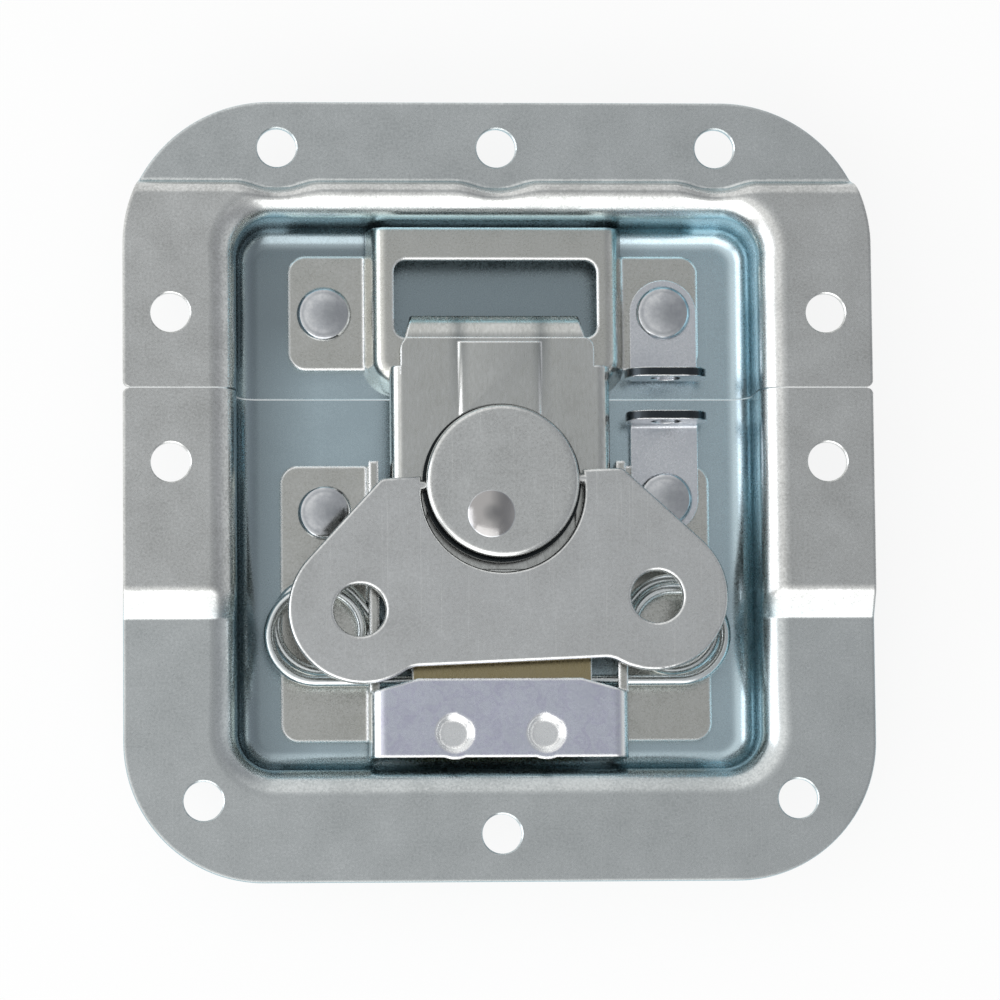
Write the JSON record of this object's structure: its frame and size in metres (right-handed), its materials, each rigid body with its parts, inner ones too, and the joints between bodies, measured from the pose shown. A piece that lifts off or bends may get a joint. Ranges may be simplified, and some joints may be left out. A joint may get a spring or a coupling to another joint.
{
  "type": "butterfly latch",
  "caption": "Recessed over-centre butterfly latch in a cranked two-part dish, with a folding wing, sliding hook, keeper, spring link and padlock eyes.",
  "frame": {"origin": "under the middle of the plate, level with the rivet tails on the back", "axes": "+X across the latch to its right side, +Y towards the lid half with the keeper, +Z out of the front face"},
  "size_m": [0.101, 0.1054, 0.0151],
  "materials": {
    "dish_zinc": "zinc-plated pressed steel, satin grain",
    "bracket_zinc": "zinc-plated folded steel",
    "eye_zinc": "zinc-plated steel strap",
    "tongue_zinc": "zinc-plated folded steel, fine scratches",
    "wing_zinc": "zinc-plated stamped steel, tumbled",
    "hub_zinc": "zinc-plated turned steel",
    "rivet_zinc": "bright zinc-plated rivet",
    "spring_steel": "bright zinc-plated spring wire"
  },
  "bodies": {
    "dish": {"upper_dish": "dish_zinc", "lower_dish": "dish_zinc", "keeper": "bracket_zinc", "upper_padlock_eye": "eye_zinc", "lower_padlock_eye": "eye_zinc", "base_frame": "bracket_zinc", "keeper_rivet_left": "rivet_zinc", "keeper_rivet_right": "rivet_zinc", "frame_rivet_left": "rivet_zinc", "frame_rivet_right": "rivet_zinc", "spring_wire": "spring_steel"},
    "tongue": {"carrier_plate": "tongue_zinc"},
    "hub": {"cam": "hub_zinc", "spool": "hub_zinc", "pivot_pin": "rivet_zinc", "pivot_washer": "rivet_zinc", "knob_disc": "hub_zinc", "dome_rivet": "rivet_zinc"},
    "hook": {"hook_plate": "tongue_zinc"},
    "wing": {"wing": "wing_zinc"}
  },
  "joints": [
    {"name": "tongue_swing", "type": "hinge", "parent": "dish", "child": "tongue", "pos_m": [0, -0.0254, 0.0067], "axis": [1, 0, 0], "range_deg": [0, 28]},
    {"name": "hub_turn", "type": "hinge", "parent": "tongue", "child": "hub", "pos_m": [0.0004, 0.0009, 0.0101], "axis": [0, 0, 1], "range_deg": [0, 180]},
    {"name": "hook_slide", "type": "slide", "parent": "tongue", "child": "hook", "axis": [0, 1, 0], "range_m": [0, 0.00736]},
    {"name": "wing_lift", "type": "hinge", "parent": "hub", "child": "wing", "pos_m": [0.0004, 0.0009, 0.01195], "axis": [-0.999, -0.0436, 0], "range_deg": [0, 90]}
  ],
  "couplings": [
    {"joint": "hook_slide", "follows": "hub_turn", "m_per_rad": 0.002339}
  ]
}
